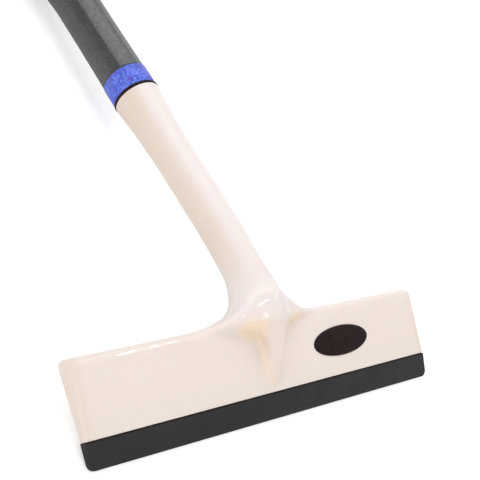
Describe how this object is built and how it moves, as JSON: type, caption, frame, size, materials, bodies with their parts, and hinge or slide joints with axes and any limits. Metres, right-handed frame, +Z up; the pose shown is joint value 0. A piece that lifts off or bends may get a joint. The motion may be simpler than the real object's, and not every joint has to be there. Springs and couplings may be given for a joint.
{
  "type": "hand squeegee",
  "caption": "Hand squeegee: moulded cream head, curved neck and handle in one piece, slide-in black rubber blade, faceted grey grip with a blue band and domed end cap.",
  "frame": {"origin": "on the floor plane under the middle of the squeegee's bounding box, as it lies face up on its blade and the rim of its end cap", "axes": "+X along the blade toward the badge's end, +Y from the blade toward the grip's end, +Z up"},
  "size_m": [0.25, 0.3252, 0.0413],
  "materials": {
    "cream_plastic": "glossy moulded cream plastic",
    "black_rubber": "satin black rubber",
    "grey_rubber": "matte grained dark grey rubber",
    "blue_foil": "satin metallic blue band",
    "cap_rubber": "satin dark grey rubber",
    "badge_black": "smooth black badge"
  },
  "bodies": {
    "squeegee": {"body": "cream_plastic", "grip_sleeve": "grey_rubber", "grip_band": "blue_foil", "grip_end_cap": "cap_rubber", "badge": "badge_black"},
    "blade": {"rubber_blade": "black_rubber"}
  },
  "joints": [
    {"name": "blade_slide", "type": "slide", "parent": "squeegee", "child": "blade", "axis": [1, 0, 0], "range_m": [0, 0.225]}
  ]
}
